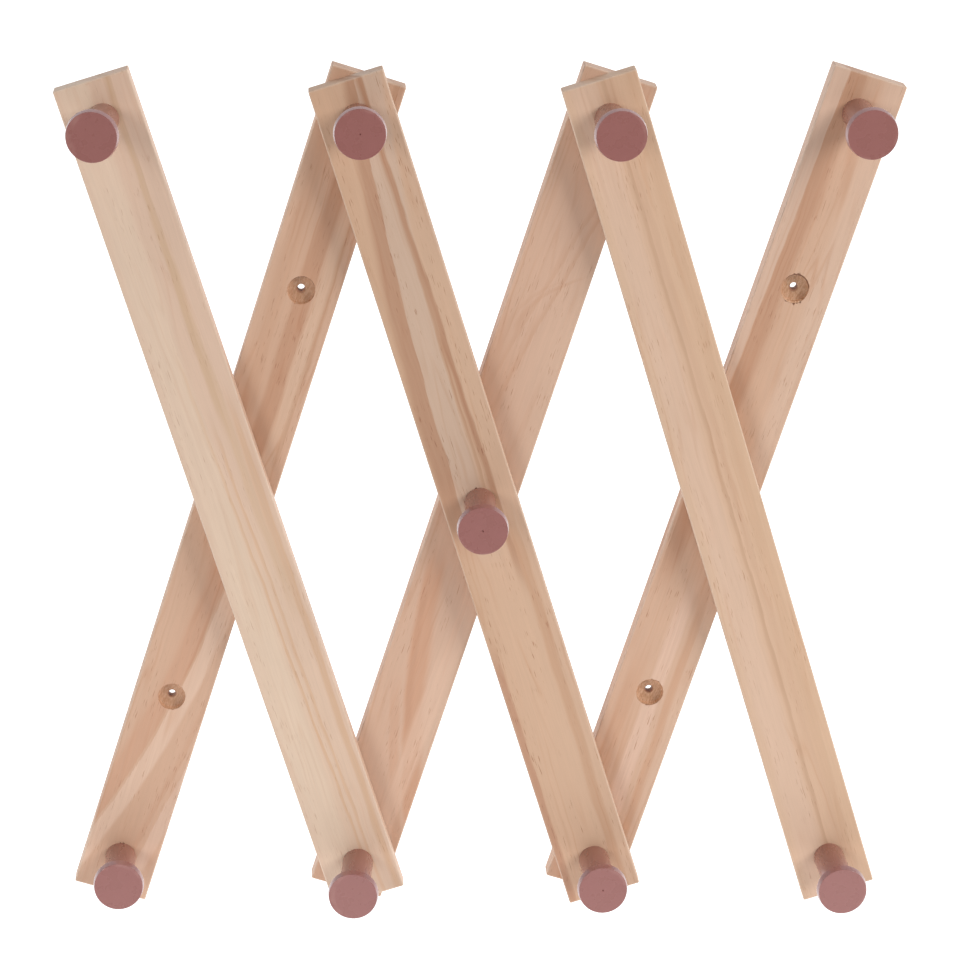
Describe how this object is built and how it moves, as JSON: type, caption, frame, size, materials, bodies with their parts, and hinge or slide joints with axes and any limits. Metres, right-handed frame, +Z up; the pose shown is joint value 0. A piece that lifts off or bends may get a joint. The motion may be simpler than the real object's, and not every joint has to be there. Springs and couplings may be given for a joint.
{
  "type": "expanding wall peg rack",
  "caption": "Folding lattice of crossed pine slats joined by turned, dusty-rose pegs, which opens and closes like lazy tongs and hangs on a wall to hold clothes.",
  "frame": {"origin": "on the wall plane, behind the middle crossing", "axes": "+Z up, +Y into the wall, +X to the right as seen from the front; every pivot axis runs along Y"},
  "size_m": [0.4158, 0.0634, 0.4404],
  "materials": {
    "pine_front_1": "bare sanded pine",
    "pine_front_2": "bare sanded pine",
    "pine_front_3": "bare sanded pine",
    "pine_back_1": "bare sanded pine",
    "pine_back_2": "bare sanded pine",
    "pine_back_3": "bare sanded pine",
    "rose_paint": "satin dusty-rose paint on turned wood",
    "zinc_steel": "bright zinc plating"
  },
  "bodies": {
    "centre_pivot": {"peg_centre": "rose_paint", "peg_screw_centre": "zinc_steel", "peg_washer_centre": "zinc_steel"},
    "front_slat_1": {"front_slat_1": "pine_front_1", "peg_top_1": "rose_paint", "peg_screw_top_1": "zinc_steel", "peg_washer_top_1": "zinc_steel", "peg_bottom_2": "rose_paint", "peg_screw_bottom_2": "zinc_steel", "peg_washer_bottom_2": "zinc_steel", "pivot_screw_left": "zinc_steel", "pivot_washer_left": "zinc_steel"},
    "front_slat_2": {"front_slat_2": "pine_front_2", "peg_top_2": "rose_paint", "peg_screw_top_2": "zinc_steel", "peg_washer_top_2": "zinc_steel", "peg_bottom_3": "rose_paint", "peg_screw_bottom_3": "zinc_steel", "peg_washer_bottom_3": "zinc_steel"},
    "front_slat_3": {"front_slat_3": "pine_front_3", "peg_top_3": "rose_paint", "peg_screw_top_3": "zinc_steel", "peg_washer_top_3": "zinc_steel", "peg_bottom_4": "rose_paint", "peg_screw_bottom_4": "zinc_steel", "peg_washer_bottom_4": "zinc_steel", "pivot_screw_right": "zinc_steel", "pivot_washer_right": "zinc_steel"},
    "back_slat_1": {"back_slat_1": "pine_back_1", "peg_bottom_1": "rose_paint", "peg_screw_bottom_1": "zinc_steel", "peg_washer_bottom_1": "zinc_steel"},
    "back_slat_2": {"back_slat_2": "pine_back_2"},
    "back_slat_3": {"back_slat_3": "pine_back_3", "peg_top_4": "rose_paint", "peg_screw_top_4": "zinc_steel", "peg_washer_top_4": "zinc_steel"}
  },
  "joints": [
    {"name": "rack_opening", "type": "hinge", "parent": "centre_pivot", "child": "front_slat_2", "pos_m": [0, 0, 0], "axis": [0, -1, 0], "range_deg": [-11.9, 67.1]},
    {"name": "back_slat_2_turn", "type": "hinge", "parent": "centre_pivot", "child": "back_slat_2", "pos_m": [0, 0, 0], "axis": [0, -1, 0], "range_deg": [-67.1, 11.9]},
    {"name": "back_slat_1_turn", "type": "hinge", "parent": "front_slat_2", "child": "back_slat_1", "pos_m": [-0.0613, 0, 0.19562], "axis": [0, -1, 0], "range_deg": [-134.2, 23.8]},
    {"name": "front_slat_1_turn", "type": "hinge", "parent": "back_slat_1", "child": "front_slat_1", "pos_m": [-0.12261, 0, 0], "axis": [0, -1, 0], "range_deg": [-23.8, 134.2]},
    {"name": "front_slat_3_turn", "type": "hinge", "parent": "back_slat_2", "child": "front_slat_3", "pos_m": [0.0613, 0, 0.19562], "axis": [0, -1, 0], "range_deg": [-23.8, 134.2]},
    {"name": "back_slat_3_turn", "type": "hinge", "parent": "front_slat_3", "child": "back_slat_3", "pos_m": [0.12261, 0, 0], "axis": [0, -1, 0], "range_deg": [-134.2, 23.8]}
  ],
  "couplings": [
    {"joint": "back_slat_2_turn", "follows": "rack_opening", "ratio": -1},
    {"joint": "back_slat_1_turn", "follows": "rack_opening", "ratio": -2},
    {"joint": "front_slat_1_turn", "follows": "rack_opening", "ratio": 2},
    {"joint": "front_slat_3_turn", "follows": "rack_opening", "ratio": 2},
    {"joint": "back_slat_3_turn", "follows": "rack_opening", "ratio": -2}
  ]
}
